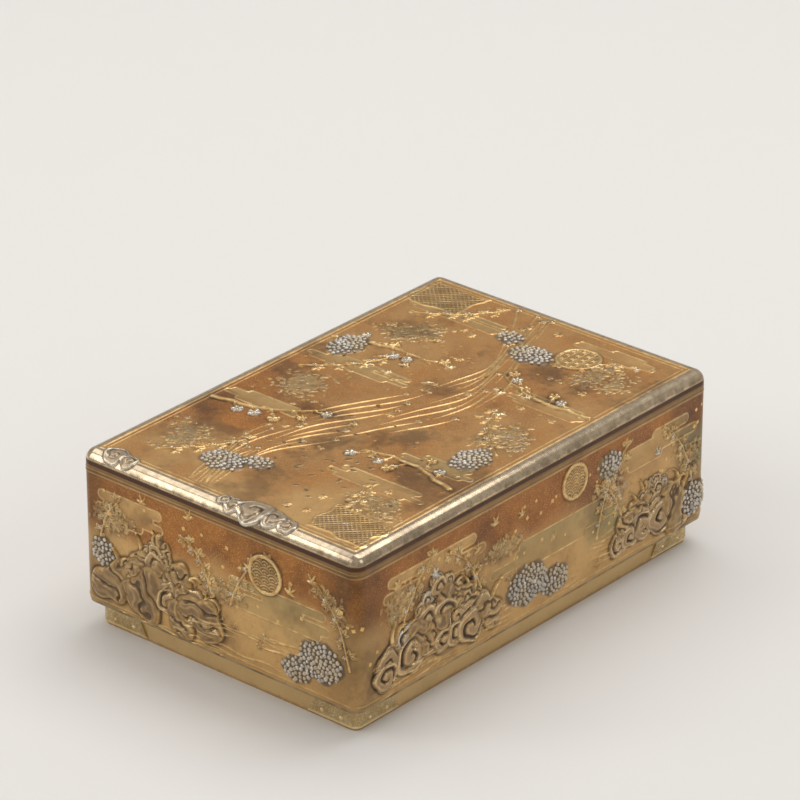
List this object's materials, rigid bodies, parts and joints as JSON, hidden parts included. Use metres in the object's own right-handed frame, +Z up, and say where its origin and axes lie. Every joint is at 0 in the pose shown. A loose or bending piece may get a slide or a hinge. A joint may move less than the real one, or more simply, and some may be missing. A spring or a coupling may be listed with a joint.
{
  "type": "shogi piece box",
  "caption": "Rectangular lacquered game piece box: deep lift-off cover with rounded top edges over an inner box whose foot with corner mounts shows below.",
  "frame": {"origin": "centre of the footprint on the plane the box stands on", "axes": "+Z up, the way the cover lifts; +Y along the long sides, towards the back end; +X across, towards the right side; the front end faces -Y"},
  "size_m": [0.118, 0.178, 0.064],
  "materials": {
    "cover_lacquer": "gold-powdered lacquer with raised gold work over a softwood core",
    "box_lacquer": "gold-powdered lacquer over a softwood core, with gold flakes in the inside",
    "raised_gold": "burnished gold powder on raised lacquer",
    "blossom_silver": "dulled silver set in lacquer",
    "rim_metal": "worn tin edging",
    "mount_metal": "aged gilt on copper",
    "key_wood": "plain sawn hardwood",
    "bamboo": "split bamboo"
  },
  "bodies": {
    "inner_box": {"box_bottom_board": "box_lacquer", "box_front_board": "box_lacquer", "box_back_board": "box_lacquer", "box_left_board": "box_lacquer", "box_right_board": "box_lacquer", "box_corner_keys": "key_wood", "box_bottom_pegs": "bamboo", "box_rim_front": "rim_metal", "box_rim_back": "rim_metal", "box_rim_left": "rim_metal", "box_rim_right": "rim_metal", "foot_mount_front_left": "mount_metal", "foot_mount_front_right": "mount_metal", "foot_mount_back_right": "mount_metal", "foot_mount_back_left": "mount_metal", "foot_mount_pins": "mount_metal"},
    "cover": {"cover_top_board": "cover_lacquer", "cover_front_board": "cover_lacquer", "cover_back_board": "cover_lacquer", "cover_left_board": "cover_lacquer", "cover_right_board": "cover_lacquer", "cover_corner_keys": "key_wood", "cover_top_pegs": "bamboo", "cover_rim_front": "rim_metal", "cover_rim_back": "rim_metal", "cover_rim_left": "rim_metal", "cover_rim_right": "rim_metal"}
  },
  "joints": [
    {"name": "cover_lift", "type": "slide", "parent": "inner_box", "child": "cover", "axis": [0, 0, 1], "range_m": [0, 0.08]}
  ]
}
